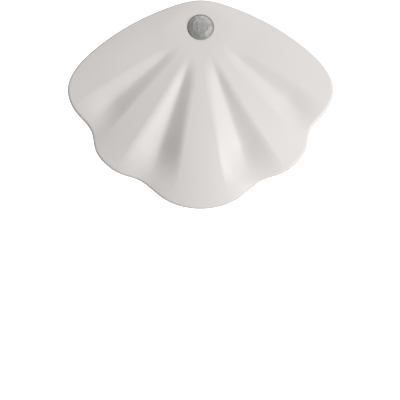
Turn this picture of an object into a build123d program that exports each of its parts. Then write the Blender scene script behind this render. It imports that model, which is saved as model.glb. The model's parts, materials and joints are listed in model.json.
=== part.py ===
"""Motion sensor wall light: a scallop cover on a drafted tub, held to a wall plate by magnets.

Millimetres. The row frame has X right, Z up and the wall at Y = 0 with the light on its -Y side.
Most pieces are drawn in the case frame, whose z is straight out of the cover's rim plane and
whose y runs up along that plane. The case leans so that its top lies nearer to the wall.
"""
import bisect
import math
import os

from build123d import *

# How the case stands on the wall
CASE_LEAN = 8.6          # degrees between the rim plane and the wall
RIM_OFF_WALL = 27.1      # rim plane to the wall at the middle of the wall plate

# Cover outline, right half, about the sensor: across and up
SENSOR_UP = 45.0         # sensor above the middle of the wall plate, along the case
COVER_APEX_UP = 15.4
COVER_BROW = (16.8, 11.6)
COVER_SHOULDER = (37.0, 2.3)
COVER_ARM = (56.1, -11.0)
COVER_WING_TOP = (65.9, -21.2)
COVER_WING_TIP = (70.3, -32.0)
COVER_WING_FOOT = (65.6, -45.2)
COVER_OUTER_NOTCH = (57.7, -55.3)
COVER_LOBE_SIDE = (55.6, -64.9)
COVER_LOBE_CORNER = (49.0, -73.5)
COVER_LOBE_FOOT = (42.8, -77.5)
COVER_INNER_NOTCH = (33.1, -80.8)
COVER_CENTRE_SIDE = (20.5, -90.3)
COVER_HEM_DOWN = 96.3

# Cover heights above the rim plane
RIM_TALL = 3.4
RIM_ROUND = 1.3
HUB_RISE = 3.1           # sensor seat above the top of the rim
DOME_RISE = 8.0          # swell of the lobes over the line from seat to rim
DOME_CREST = 0.6         # share of the way from seat to rim where the swell is highest
DOME_START = 1.4         # power of the swell's start at the seat
DOME_SPREAD = 31.0       # degrees off straight down where the swell has lost two fifths
SEAT_SLOPE = 0.117       # the seat falls this much for each mm upward
SEAT_FLAT = 8.0          # radius of the flat seat under the sensor lens
SEAT_BLEND = 20.0
SEAT_SHARE = 0.5         # share of the way to the rim where the seat starts to give way
SKIN_BEYOND = 0.3        # share past the rim in which the skin levels off
FIELD_STEP = 4.0         # spacing of the sections that carry the cover's skin
FIELD_MARGIN = 6.0

# Valleys between the lobes, in degrees off straight down: inner brink, bottom, outer brink near the seat
# and at the rim; then the slope of the inner wall
INNER_VALLEY = (8.8, 18.2, 22.4, 30.8, 0.52)
OUTER_VALLEY = (41.2, 49.8, 58.0, 58.4, 0.34)
VALLEY_ROUND = 0.2       # round of the valley's bottom, as a share of its inner wall's width
VALLEY_FROM = 0.165      # shares of the way from the sensor to the rim where a valley starts,
VALLEY_FULL = 0.38       # has its full slope,
VALLEY_FADE = 0.74       # starts to fade
VALLEY_TO = 1.0          # and ends
BRINK_ROUND = 1.4        # how softly a wall turns into the skin
VALLEY_LIFT = 0.14       # cutter above the skin beyond the brinks,
FADE_LIFT = 0.03         # and where the valley fades out
VALLEY_SECTIONS = 20
VALLEY_WIDE = 1.6        # cutter beyond the brinks, as a share of the wider wall
VALLEY_POINTS = 12       # points from the middle of a cutter's section to its side
COVER_WALL = 2.2
RIM_WALL = 2.0
INSET_SAMPLES = 24       # points that carry the rim's inside
OUTLINE_SAMPLES = 400    # points that measure the outline's reach

# Tub outline at its rim, case frame
TUB_TOP_UP = 56.0
TUB_TOP_HALF = 9.0
TUB_CORNER_HALF = 50.4
TUB_CORNER_UP = 23.6
TUB_FOOT_HALF = 23.0
TUB_FOOT_DOWN = 30.1
TUB_DRAFT = 2.6
TUB_WALL = 2.0
TUB_TOP_ROUND = 5.0
TUB_CORNER_ROUND = 2.4
TUB_FOOT_ROUND = 3.2
TUB_BACK_ROUND = 1.4
HOLLOW_ROUND = 2.2
BACK_CURVE_FROM = 27.0   # height at which the back starts to curve off the wall
BACK_CURVE = 70.0        # radius of that curve
BACK_CURVE_TURN = 45.0   # degrees drawn, well past the tub's top
BACK_EDGE_SLOPE = 0.6    # edges of the tub steeper than this are no edges of its back
BACK_OFF_WALL = 0.4
SEAM = 0.15              # hairline between cover and tub

# Wall plate, pad and magnets, row frame
PLATE_WIDE = 48.0
PLATE_TALL = 26.0
PLATE_THICK = 1.0
PLATE_ROUND = 3.0
PAD_THICK = 1.0
PAD_MARGIN = 1.0
PLATE_HOLE = 4.4         # wall screw hole diameter
PLATE_HOLE_SPAN = 36.0   # between the two wall screws
PAD_HOLE = 8.0           # pad and tub relief around a wall screw head
HEAD_RELIEF = 2.2
PLATE_GAP = 0.5          # plate edge to the tub's recess
RECESS_SKIN = 1.2        # tub left between the plate and the magnets
MAGNET_DIA = 11.0
MAGNET_THICK = 3.0
MAGNET_SPAN = 15.0
MAGNET_DOWN = 5.0
MAGNET_RING = 1.2
GLUE_GAP = 0.15          # between a part and the pocket that it is glued into

# Sensor lens and what is behind it
LENS_DIA = 13.8
LENS_RISE = 2.9
LENS_SKIN = 0.9
LENS_NECK = 2.7          # lens below the seat's surface down to its flange
LENS_FLANGE = 1.2
LENS_FLANGE_OVER = 1.4   # flange beyond the dome all round
LENS_GAP = 0.2
SEAT_BOSS_WALL = 1.6
LENS_RING_TALL = 1.5
LENS_RING_WALL = 1.6
PYRO_DIA = 9.2
PYRO_TALL = 4.4
PYRO_RIM_DIA = 9.9
PYRO_RIM_TALL = 0.5
PYRO_WINDOW = (4.0, 3.0, 0.3)
DAYLIGHT_SIZE = (2.0, 1.3, 0.8)

# Buttons and their tab on the upper right wall
BUTTON_LONG = 9.6
BUTTON_TALL = 6.9
BUTTON_PROUD = 0.7
BUTTON_DOWN = 4.0        # button centre below the rim plane
BUTTON_GAP = 0.3
BUTTON_FLANGE = 1.0
BUTTON_FLANGE_OVER = 0.9
BUTTON_FLANGE_EASE = 0.12  # flange to the inside of the wall at rest
BUTTON_TRAVEL = 0.5
BUTTON_ROUND = 0.35
POWER_ALONG = 10.3       # from the top corner along the wall
MODE_ALONG = 27.2
TAB_FROM = 1.9
TAB_TO = 36.6
SYMBOL_RING = 3.4        # power symbol diameter
SYMBOL_LINE = 0.5
SYMBOL_DEEP = 0.25
SYMBOL_GAP_ANGLE = 70.0
SWITCH_IN = 5.7          # wall line to the face of the switch
SWITCH_WIDE = 6.2
SWITCH_DEEP = 3.6
SWITCH_TALL = 3.6
STEM_WIDE = 2.6
STEM_TALL = 1.4
STEM_INTO = 1.2          # stem inside its switch at rest
STEM_GAP = 0.3

# Main board
BOARD_DOWN = 6.0         # top of the board below the rim plane
BOARD_THICK = 1.6
BOARD_FOOT_UP = 26.5
BOARD_IN_LEFT = 3.0
BOARD_IN_RIGHT = 4.8
BOARD_POST_OUT = 32.0    # lower posts to the middle
BOARD_POST_UP = 2.3      # lower posts above the board's foot
BOARD_TOP_POST = (-12.5, 7.0)  # across, and below the board's top
BOARD_POST_DIA = 5.0
BOARD_SCREW_DIA = 2.0
BOARD_SCREW_LONG = 7.0
BOARD_SCREW_HEAD = (3.8, 1.4)
PILOT_EASE = 0.05        # radial play of a screw's core in its drilled post
HOLE_EASE = 0.2          # radial play of a screw in a hole that it passes

# Parts on the board: across, and above the board's foot
CONTROLLER_SIZE = (10.0, 4.0, 1.5)
CONTROLLER_AT = (0.0, 7.5)
CHARGER_SIZE = (4.9, 3.9, 1.5)
CHARGER_AT = (-12.0, 6.5)
INDUCTOR_SIZE = (5.0, 5.0, 2.8)
INDUCTOR_AT = (13.0, 8.5)
CAPACITOR_DIA = 5.0
CAPACITOR_TALL = 4.6
CAPACITOR_AT = (-11.0, 12.1)
RESISTOR_SIZE = (1.6, 0.8, 0.5)
RESISTOR_COUNT = 4
RESISTOR_STEP = 3.0
RESISTOR_UP = 11.7
DAYLIGHT_FROM_SENSOR = (-6.6, -2.0)

# Charging socket on the upper left wall
SOCKET_WIDE = 9.0
SOCKET_TALL = 3.2
SOCKET_DEEP = 7.3
SOCKET_SKIN = 0.35
SOCKET_SET_IN = 0.3
SOCKET_ALONG = 26.3
SOCKET_GAP = 0.3
TONGUE_WIDE = 6.6
TONGUE_TALL = 0.7
TONGUE_LONG = 5.2

# Battery
CELL_DIA = 18.5
CELL_LONG = 65.0
CELL_UP = 14.5
CELL_DOWN = 11.9
CRADLE_APART = 44.0
CRADLE_THICK = 2.0
CRADLE_UP_CELL = 6.5     # cradle rib's top below the cell's axis
CELL_GAP = 0.15
END_BOARD_THICK = 0.8
END_BOARD_DIA = 17.0
FOAM_LONG = 30.0
FOAM_TALL = 7.0
FOAM_UP_CELL = 1.0       # foam's sides above the cell's lowest line
PLUG_SIZE = (6.0, 4.6, 4.0)
PLUG_IN = 0.6            # plugs from the board's foot
BATTERY_PLUG_ACROSS = 21.0
LAMP_PLUG_ACROSS = -18.0
LEAD_DIA = 1.3
LEAD_APART = 2.0
LEAD_BEND = 1.8
LEAD_LIFT = 0.3          # leads over the cell
LEAD_GAP = 0.15          # cut end of a lead to the face that it is soldered or crimped to

# Lamp in the tub's end face
LAMP_DOWN = 12.6         # lamp axis below the rim plane, on the end face
COLLAR_DIA = 24.8
COLLAR_PROUD = 4.9
COLLAR_ROUND = 0.8
COLLAR_MOUTH = 19.3
COLLAR_LIP = 1.5
COLLAR_BORE = 20.3
COLLAR_NECK = 22.4
COLLAR_NECK_LONG = 8.6
NECK_GAP = 0.2
LOCK_RING_DIA = 24.8
LOCK_RING_TALL = 2.0
LAMP_LENS_DIA = 19.0
LAMP_LENS_STAND = 1.8    # straight part of the lamp lens in front of its flange
LAMP_LENS_RISE = 5.6
LAMP_LENS_SKIN = 1.4
LAMP_FLANGE_DIA = 20.0
LAMP_FLANGE_TALL = 1.4
REFLECTOR_SKIN = 0.8
REFLECTOR_THROAT = 6.4
LED_DIA = 5.8
LED_TALL = 0.8
LED_BOARD_DIA = 19.8
LED_BOARD_THICK = 1.6
HEAT_PLATE_THICK = 2.0
HEAT_NOTCH = 5.0         # notch in the heat plate for the leads
LAMP_LEAD_OUT = 6.0      # leads leave the heat plate this far to the side
LAMP_LEAD_UP = 5.0

# Housing screws, from the back into the cover
SIDE_POST_IN = (9.9, 2.0)  # upper posts in from the tub's side corners, across and down
FOOT_POST_IN = (4.4, 7.1)  # lower posts in from the tub's foot corners, across and up
BOSS_DIA = 5.8           # cover boss
POST_DIA = 7.6           # tub post
POST_DOWN = 3.0          # joint between cover boss and tub post, below the rim plane
SCREW_DIA = 2.6
SCREW_INTO = 6.0         # screw length in the cover's boss
SCREW_HEAD_DIA = 4.6
SCREW_HEAD_TALL = 1.8
SCREW_SHELF = 5.0        # post left under the screw head
HEAD_EASE = 0.3
DRILL_SPARE = 0.8        # drilled past the end of a screw

DEEP = 80.0              # reaches past anything it cuts

CASE = Plane(
    origin=(0, -RIM_OFF_WALL, 0),
    x_dir=(1, 0, 0),
    z_dir=(0, -math.cos(math.radians(CASE_LEAN)), math.sin(math.radians(CASE_LEAN))),
)


def placed(shape):
    """From the case frame to the row frame."""
    return CASE.location * shape


def into_case(shape):
    """From the row frame to the case frame."""
    return CASE.location.inverse() * shape


def save(shape, name):
    shape.label = name
    export_step(shape, f"parts/{name}.step")


def post(at, diameter, top, bottom):
    """Upright round bar in the case frame."""
    bar = Cylinder(diameter / 2, top - bottom, align=(Align.CENTER, Align.CENTER, Align.MIN))
    return Pos(at[0], at[1], bottom) * bar


def disc(diameter, start, end):
    """Round bar along a plane's own z."""
    bar = Cylinder(diameter / 2, end - start, align=(Align.CENTER, Align.CENTER, Align.MIN))
    return Pos(0, 0, start) * bar


def block_on(at, size, base):
    """Box standing on a level in the case frame."""
    return Pos(at[0], at[1], base) * Box(*size, align=(Align.CENTER, Align.CENTER, Align.MIN))


def smooth(share):
    share = min(max(share, 0.0), 1.0)
    return share * share * (3 - 2 * share)


# Cover outline and its reach from the sensor in each direction
right_side = Spline(
    [
        (0, COVER_APEX_UP),
        COVER_BROW,
        COVER_SHOULDER,
        COVER_ARM,
        COVER_WING_TOP,
        COVER_WING_TIP,
        COVER_WING_FOOT,
        COVER_OUTER_NOTCH,
        COVER_LOBE_SIDE,
        COVER_LOBE_CORNER,
        COVER_LOBE_FOOT,
        COVER_INNER_NOTCH,
        COVER_CENTRE_SIDE,
        (0, -COVER_HEM_DOWN),
    ],
    tangents=[(1, 0), (-1, 0)],
    tangent_scalars=[1, 1],
)
outline = Pos(0, SENSOR_UP) * make_face([right_side, right_side.mirror(Plane.YZ)])
inset_points = []
for i in range(INSET_SAMPLES + 1):
    run = right_side.tangent_at(i / INSET_SAMPLES)
    inset_points.append(right_side.position_at(i / INSET_SAMPLES) + Vector(run.Y, -run.X) * RIM_WALL)
inset_side = Spline(inset_points, tangents=[(1, 0), (-1, 0)])
inset_outline = Pos(0, SENSOR_UP) * make_face([inset_side, inset_side.mirror(Plane.YZ)])

samples = [right_side.position_at(i / OUTLINE_SAMPLES) for i in range(OUTLINE_SAMPLES + 1)]
polar = sorted((math.atan2(p.X, -p.Y), math.hypot(p.X, p.Y)) for p in samples)
polar_angles = [angle for angle, radius in polar]
cover_half = max(p.X for p in samples)


def reach(angle):
    """Distance from the sensor to the outline, by the angle off straight down."""
    i = min(max(bisect.bisect(polar_angles, angle), 1), len(polar) - 1)
    (angle_0, radius_0), (angle_1, radius_1) = polar[i - 1], polar[i]
    return radius_0 + (angle - angle_0) / (angle_1 - angle_0) * (radius_1 - radius_0)


def skin_height(across, up):
    """Height of the cover's skin without its valleys above the rim plane; up is from the sensor."""
    radius = math.hypot(across, up)
    angle = math.atan2(abs(across), -up)
    share = radius / reach(angle)
    if share > 1:
        share = 1 + SKIN_BEYOND * math.tanh((share - 1) / SKIN_BEYOND)
    swell = DOME_RISE * math.exp(-(math.degrees(angle) / DOME_SPREAD) ** 2 / 2)
    if share < DOME_CREST:
        dome = math.sin(math.pi / 2 * share / DOME_CREST) ** DOME_START
    else:
        dome = math.sin(math.pi / 2 * (1 - share) / (1 - DOME_CREST))
    lobed = RIM_TALL + HUB_RISE * (1 - share ** 2) + swell * dome
    seat = RIM_TALL + HUB_RISE - SEAT_SLOPE * up
    to_seat = 1 - smooth((radius - SEAT_FLAT) / SEAT_BLEND)
    to_seat *= 1 - smooth((share - SEAT_SHARE) / (1 - SEAT_SHARE))
    return lobed + (seat - lobed) * to_seat


# Solid under the cover's skin, from level sections lofted up the case
field_low = -COVER_HEM_DOWN - FIELD_MARGIN
field_high = COVER_APEX_UP + FIELD_MARGIN
field_half = cover_half + FIELD_MARGIN
field_rows = round((field_high - field_low) / FIELD_STEP)
field_columns = 2 * round(field_half / FIELD_STEP)
sections = []
for row in range(field_rows + 1):
    up = field_low + (field_high - field_low) * row / field_rows
    crest = []
    for column in range(field_columns + 1):
        across = field_half * (2 * column / field_columns - 1)
        crest.append(Vector(across, SENSOR_UP + up, skin_height(across, up)))
    even = [column / field_columns for column in range(field_columns + 1)]
    foot_left = Vector(-field_half, SENSOR_UP + up, -DEEP)
    foot_right = Vector(field_half, SENSOR_UP + up, -DEEP)
    edges = [
        Edge.make_spline(crest, parameters=even),
        Edge.make_line(crest[-1], foot_right),
        Edge.make_line(foot_right, foot_left),
        Edge.make_line(foot_left, crest[0]),
    ]
    sections.append(Wire(edges))
domed = Solid.make_loft(sections)


def valley_cutter(side, inner_brink, angle, seat_brink, rim_brink, inner_slope):
    """Cuts one valley: two straight walls with a round bottom, fading out at the seat and at the rim."""
    lean = side * math.radians(angle)
    along = Vector(math.sin(lean), -math.cos(lean))
    aside = Vector(math.cos(lean), math.sin(lean))
    loops = []
    for i in range(VALLEY_SECTIONS + 1):
        share = VALLEY_FROM + (VALLEY_TO - VALLEY_FROM) * i / VALLEY_SECTIONS
        radius = share * reach(abs(lean))
        started = smooth((share - VALLEY_FROM) / (VALLEY_FULL - VALLEY_FROM))
        ease = started * (1 - smooth((share - VALLEY_FADE) / (VALLEY_TO - VALLEY_FADE)))
        outer_brink = seat_brink + share * (rim_brink - seat_brink)
        edge = radius * math.radians(outer_brink - angle)
        inner_edge = radius * math.radians(angle - inner_brink)
        outer_slope = inner_slope * inner_edge / edge
        steep = (inner_slope + outer_slope) / 2
        uneven = (outer_slope - inner_slope) / 2
        bottom = VALLEY_ROUND * inner_edge
        brink = steep * math.hypot(edge, bottom) + uneven * edge
        wall = []
        for j in range(-VALLEY_POINTS, VALLEY_POINTS + 1):
            off = VALLEY_WIDE * max(edge, inner_edge) * j / VALLEY_POINTS
            drop = brink - steep * math.hypot(off, bottom) - uneven * off
            at = along * radius + aside * side * off
            depth = ease * (drop + math.hypot(drop, steep * BRINK_ROUND)) / 2
            level = skin_height(at.X, at.Y) + FADE_LIFT + ease * (VALLEY_LIFT - FADE_LIFT) - depth
            wall.append(Vector(at.X, SENSOR_UP + at.Y, level))
        even = [j / (2 * VALLEY_POINTS) for j in range(2 * VALLEY_POINTS + 1)]
        corners = [Vector(p.X, p.Y, DEEP) for p in (wall[-1], wall[0])]
        loops.append(Wire([
            Edge.make_spline(wall, parameters=even),
            Edge.make_line(wall[-1], corners[0]),
            Edge.make_line(corners[0], corners[1]),
            Edge.make_line(corners[1], wall[0]),
        ]))
    return Solid.make_loft(loops)


valleys = [valley_cutter(side, *valley) for side in (-1, 1) for valley in (INNER_VALLEY, OUTER_VALLEY)]
under_skin = domed - valleys

filled = extrude(outline, DEEP, dir=(0, 0, 1)) & domed
rim_edges = [e for e in filled.edges() if e.center().Z > RIM_TALL / 2 and e.length > cover_half / 2]
filled = fillet(rim_edges, RIM_ROUND) - valleys

# Tub outline, blank and hollow
tub_corners = [
    (TUB_TOP_HALF, TUB_TOP_UP),
    (TUB_CORNER_HALF, TUB_CORNER_UP),
    (TUB_FOOT_HALF, -TUB_FOOT_DOWN),
    (-TUB_FOOT_HALF, -TUB_FOOT_DOWN),
    (-TUB_CORNER_HALF, TUB_CORNER_UP),
    (-TUB_TOP_HALF, TUB_TOP_UP),
]
tub_face = make_face(Polyline(*tub_corners, close=True))


def wall_level(up, off_wall):
    """Case level of the plane that lies off the wall by this much, at a height up the case."""
    lean = math.radians(CASE_LEAN)
    return (off_wall - RIM_OFF_WALL + up * math.sin(lean)) / math.cos(lean)


def tub_outline(inset, rounds):
    """Tub outline this far inside the outside, with its corners rounded: top, side and foot."""
    face = tub_face if inset == 0 else offset(tub_face, -inset, kind=Kind.INTERSECTION)
    corners = face.vertices().sort_by(Axis.Y)
    face = fillet(corners[4:], rounds[0])
    corners = face.vertices().sort_by(Axis.Y)
    face = fillet(corners[2:4], rounds[1])
    corners = face.vertices().sort_by(Axis.Y)
    return fillet(corners[:2], rounds[2])


def tub_block(inset, rounds):
    """Drafted block under the rim plane with the tub's back, this far inside its outside."""
    block = extrude(tub_outline(inset, rounds), DEEP / 2, dir=(0, 0, -1), taper=TUB_DRAFT)
    lean = math.radians(CASE_LEAN)
    off_wall = BACK_OFF_WALL + inset
    start = Vector(BACK_CURVE_FROM, wall_level(BACK_CURVE_FROM, off_wall))
    low = Vector(-DEEP, wall_level(-DEEP, off_wall))
    back = Line(low, start)
    curve = JernArc(start, (math.cos(lean), math.sin(lean)), BACK_CURVE - inset, BACK_CURVE_TURN)
    end = curve @ 1
    lid = Polyline(end, (end.X, RIM_TALL), (-DEEP, RIM_TALL), low)
    side = make_face([back, curve, lid])
    side_plane = Plane(origin=(-DEEP, 0, 0), x_dir=(0, 1, 0), z_dir=(1, 0, 0))
    return block & extrude(side_plane * side, 2 * DEEP, dir=(1, 0, 0))


tub_rounds = (TUB_TOP_ROUND, TUB_CORNER_ROUND, TUB_FOOT_ROUND)
hollow_rounds = (HOLLOW_ROUND, HOLLOW_ROUND, HOLLOW_ROUND)
tub_sharp = tub_block(0, tub_rounds)
back_edges = tub_sharp.edges().filter_by(
    lambda e: e.center().Z < -2 * RIM_TALL and abs(e.tangent_at(0.5).Z) < BACK_EDGE_SLOPE
)
tub_outside = fillet(back_edges, TUB_BACK_ROUND)
tub_walls = tub_outside - tub_block(TUB_WALL, hollow_rounds)

# Screw posts and parts of the board, case frame
side_post = (TUB_CORNER_HALF - SIDE_POST_IN[0], TUB_CORNER_UP - SIDE_POST_IN[1])
foot_post = (TUB_FOOT_HALF - FOOT_POST_IN[0], FOOT_POST_IN[1] - TUB_FOOT_DOWN)
screw_posts = [(side * across, up) for across, up in (side_post, foot_post) for side in (-1, 1)]
board_top = TUB_TOP_UP - BOARD_IN_LEFT
board_posts = [(side * BOARD_POST_OUT, BOARD_FOOT_UP + BOARD_POST_UP) for side in (-1, 1)]
board_posts.append((BOARD_TOP_POST[0], board_top - BOARD_TOP_POST[1]))
plug_up = BOARD_FOOT_UP + PLUG_IN + PLUG_SIZE[1] / 2

# Planes of the sloping walls: x along the wall, y down from the rim plane, z outward
top_corner = Vector(TUB_TOP_HALF, TUB_TOP_UP)
side_corner = Vector(TUB_CORNER_HALF, TUB_CORNER_UP)
down_wall = (side_corner - top_corner).normalized()
RIGHT_WALL = Plane(origin=top_corner, x_dir=down_wall, z_dir=(-down_wall.Y, down_wall.X, 0))
LEFT_WALL = Plane(
    origin=(-TUB_TOP_HALF, TUB_TOP_UP, 0),
    x_dir=(down_wall.X, -down_wall.Y, 0),
    z_dir=(down_wall.Y, down_wall.X, 0),
)
draft = math.radians(TUB_DRAFT)
LAMP = Plane(
    origin=(0, -TUB_FOOT_DOWN + LAMP_DOWN * math.tan(draft), -LAMP_DOWN),
    x_dir=(1, 0, 0),
    z_dir=(0, -math.cos(draft), -math.sin(draft)),
)
LENS = Plane(
    origin=(0, SENSOR_UP, RIM_TALL + HUB_RISE),
    x_dir=(1, 0, 0),
    z_dir=(0, SEAT_SLOPE, 1),
)


def slot(plane, along, down, size, start, end):
    """Obround bar square to a wall, between two levels outward of it."""
    sketch = Pos(along, down, start) * SlotOverall(*size)
    return plane.location * extrude(sketch, end - start, dir=(0, 0, 1))


def wall_box(plane, along, down, outward):
    """Box on a wall, each pair from and to."""
    size = [pair[1] - pair[0] for pair in (along, down, outward)]
    box = Pos(along[0], down[0], outward[0]) * Box(*size, align=Align.MIN)
    return plane.location * box


def cap(diameter, rise):
    """Ball cap standing on a plane."""
    half = diameter / 2
    ball = (half ** 2 + rise ** 2) / (2 * rise)
    lean = math.atan2(half, ball - rise) / 2
    mid = (ball * math.sin(lean), ball * math.cos(lean) - ball + rise)
    bow = ThreePointArc((half, 0), mid, (0, rise))
    profile = make_face([Line((0, 0), (half, 0)), bow, Line((0, rise), (0, 0))])
    return revolve(Plane.XZ * profile, Axis.Z)


def turned(points):
    """Ring turned about z from a closed outline of radius and level."""
    return revolve(Plane.XZ * make_face(Polyline(*points, close=True)), Axis.Z)


def lead(points):
    """Round wire along straight runs joined by bends."""
    path = FilletPolyline(*points, radius=LEAD_BEND)
    start = Plane(origin=path @ 0, z_dir=path % 0)
    return sweep(start * Circle(LEAD_DIA / 2), path=path)


# Tab of the cover that fills the notch beside the buttons
tab_down = BUTTON_DOWN
tab_reach = (-2 * TUB_WALL, TUB_WALL)
tab = tub_walls & wall_box(RIGHT_WALL, (TAB_FROM, TAB_TO), (0, tab_down), tab_reach)
tab_notch = wall_box(
    RIGHT_WALL, (TAB_FROM - SEAM, TAB_TO + SEAM), (-SEAM, tab_down + SEAM), tab_reach
)
button_hole_size = (BUTTON_LONG + 2 * BUTTON_GAP, BUTTON_TALL + 2 * BUTTON_GAP)
button_holes = [
    slot(RIGHT_WALL, along, BUTTON_DOWN, button_hole_size, *tab_reach)
    for along in (POWER_ALONG, MODE_ALONG)
]

# Front shell
flange_dia = LENS_DIA + 2 * LENS_FLANGE_OVER
seat_dia = flange_dia + 2 * GLUE_GAP
flange_foot = -LENS_NECK - LENS_FLANGE
seat_boss = disc(seat_dia + 2 * SEAT_BOSS_WALL, flange_foot - LENS_RING_TALL, LENS_NECK)
cavity = extrude(inset_outline, DEEP, dir=(0, 0, 1))
cavity = cavity & (Pos(0, 0, -COVER_WALL) * under_skin)
skirt = tub_outline(0, tub_rounds) - tub_outline(TUB_WALL, hollow_rounds)
kept = [extrude(skirt, DEEP, dir=(0, 0, 1)), LENS.location * seat_boss]
kept += [post(at, BOSS_DIA, DEEP, -POST_DOWN) for at in screw_posts]
cavity = cavity - kept
boss_feet = [post(at, BOSS_DIA, RIM_TALL / 2, -POST_DOWN) for at in screw_posts]
lens_hole = disc(LENS_DIA + 2 * LENS_GAP, -2 * LENS_NECK, 2 * LENS_NECK)
lens_pocket = disc(seat_dia, flange_foot - 2 * LENS_RING_TALL, -LENS_NECK)
drill_top = SCREW_INTO + DRILL_SPARE - POST_DOWN
drills = [post(at, SCREW_DIA + 2 * PILOT_EASE, drill_top, -2 * POST_DOWN) for at in screw_posts]
front_shell = filled - cavity
front_shell = front_shell + [tab, *boss_feet]
front_shell = front_shell - [LENS.location * lens_hole, LENS.location * lens_pocket, *button_holes, *drills]

# Rear housing
plate_front = PAD_THICK + PLATE_THICK
recess_inside = plate_front + RECESS_SKIN
head_inside = plate_front + HEAD_RELIEF + RECESS_SKIN
magnet_spots = [(side * MAGNET_SPAN / 2, -MAGNET_DOWN) for side in (-1, 1)]
screw_spots = [(side * PLATE_HOLE_SPAN / 2, 0) for side in (-1, 1)]


def off_wall(sketch, start, end):
    """Straight out from the wall, between two distances."""
    return extrude(Plane.XZ.offset(start) * sketch, end - start)


recess_size = (PLATE_WIDE + 2 * PLATE_GAP, PLATE_TALL + 2 * PLATE_GAP)
recess_pad = Rectangle(recess_size[0] + 2 * TUB_WALL, recess_size[1] + 2 * TUB_WALL)
inside = off_wall(recess_pad, BACK_OFF_WALL, recess_inside)
for x, z in magnet_spots:
    ring_dia = MAGNET_DIA + 2 * GLUE_GAP + 2 * MAGNET_RING
    inside += off_wall(Pos(x, z) * Circle(ring_dia / 2), BACK_OFF_WALL, recess_inside + MAGNET_THICK)
for x, z in screw_spots:
    relief_wall = PAD_HOLE / 2 + RECESS_SKIN
    inside += off_wall(Pos(x, z) * Circle(relief_wall), BACK_OFF_WALL, head_inside)
inside = into_case(inside) & tub_outside

board_foot = -BOARD_DOWN - BOARD_THICK
for at in screw_posts:
    inside += post(at, POST_DIA, -POST_DOWN, -DEEP) & tub_outside
for at in board_posts:
    inside += post(at, BOARD_POST_DIA, board_foot, -DEEP) & tub_outside
for side in (-1, 1):
    rib = Box(CRADLE_THICK, CELL_DIA, DEEP, align=(Align.CENTER, Align.CENTER, Align.MAX))
    rib_top = -CELL_DOWN - CRADLE_UP_CELL
    inside += (Pos(side * CRADLE_APART / 2, CELL_UP, rib_top) * rib) & tub_outside

rear_housing = tub_walls + inside
rear_housing -= tab_notch
for hole in button_holes:
    rear_housing -= hole
rear_housing -= block_on((0, 0), (4 * DEEP, 4 * DEEP, DEEP), -SEAM)
rear_housing -= LAMP.location * disc(COLLAR_NECK + 2 * NECK_GAP, -2 * TUB_WALL, TUB_WALL)
socket_mid = BOARD_DOWN - SOCKET_TALL / 2
socket_hole = (SOCKET_WIDE + 2 * SOCKET_GAP, SOCKET_TALL + 2 * SOCKET_GAP)
rear_housing -= slot(LEFT_WALL, -SOCKET_ALONG, socket_mid, socket_hole, *tab_reach)
rear_housing -= into_case(off_wall(RectangleRounded(*recess_size, PLATE_ROUND), 0, plate_front))
for x, z in screw_spots:
    relief = off_wall(Pos(x, z) * Circle(PAD_HOLE / 2), 0, plate_front + HEAD_RELIEF)
    rear_housing -= into_case(relief)
for x, z in magnet_spots:
    pocket = Pos(x, z) * Circle(MAGNET_DIA / 2 + GLUE_GAP)
    rear_housing -= into_case(off_wall(pocket, recess_inside, recess_inside + 2 * MAGNET_THICK))
cell_room = Rot(0, 90, 0) * Cylinder(CELL_DIA / 2 + CELL_GAP, CELL_LONG)
rear_housing -= Pos(0, CELL_UP, -CELL_DOWN) * cell_room
head_seat = -POST_DOWN - SCREW_SHELF
for at in screw_posts:
    rear_housing -= post(at, SCREW_DIA + 2 * HOLE_EASE, 0, -DEEP)
    rear_housing -= post(at, SCREW_HEAD_DIA + 2 * HEAD_EASE, head_seat, -DEEP)
board_drill = board_foot - (BOARD_SCREW_LONG - BOARD_THICK) - DRILL_SPARE
for at in board_posts:
    rear_housing -= post(at, BOARD_SCREW_DIA + 2 * PILOT_EASE, -BOARD_DOWN, board_drill)

# Sensor lens, its ring and the sensor behind it
sensor_lens = disc(LENS_DIA, flange_foot, 0) + disc(flange_dia, flange_foot, -LENS_NECK)
sensor_lens += cap(LENS_DIA, LENS_RISE)
lens_bore = LENS_DIA - 2 * LENS_SKIN
sensor_lens -= disc(lens_bore, flange_foot, 0)
sensor_lens -= cap(lens_bore, LENS_RISE - LENS_SKIN)
lens_ring_bore = flange_dia - 2 * LENS_RING_WALL
sensor_lens_ring = disc(flange_dia, flange_foot - LENS_RING_TALL, flange_foot)
sensor_lens_ring -= disc(lens_ring_bore, flange_foot - LENS_RING_TALL, flange_foot)
sensor_at = (0, SENSOR_UP)
pyro_top = -BOARD_DOWN + PYRO_TALL
pyro_sensor = post(sensor_at, PYRO_DIA, pyro_top, -BOARD_DOWN)
pyro_sensor += post(sensor_at, PYRO_RIM_DIA, -BOARD_DOWN + PYRO_RIM_TALL, -BOARD_DOWN)
pyro_window = block_on(sensor_at, PYRO_WINDOW, pyro_top - PYRO_WINDOW[2])
pyro_sensor -= pyro_window

# Buttons, switches and stems
flange_in = TUB_WALL + BUTTON_FLANGE_EASE
flange_in += (BUTTON_DOWN + BUTTON_TALL / 2 + BUTTON_FLANGE_OVER) * math.tan(draft)
flange_back = flange_in + BUTTON_FLANGE


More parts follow.
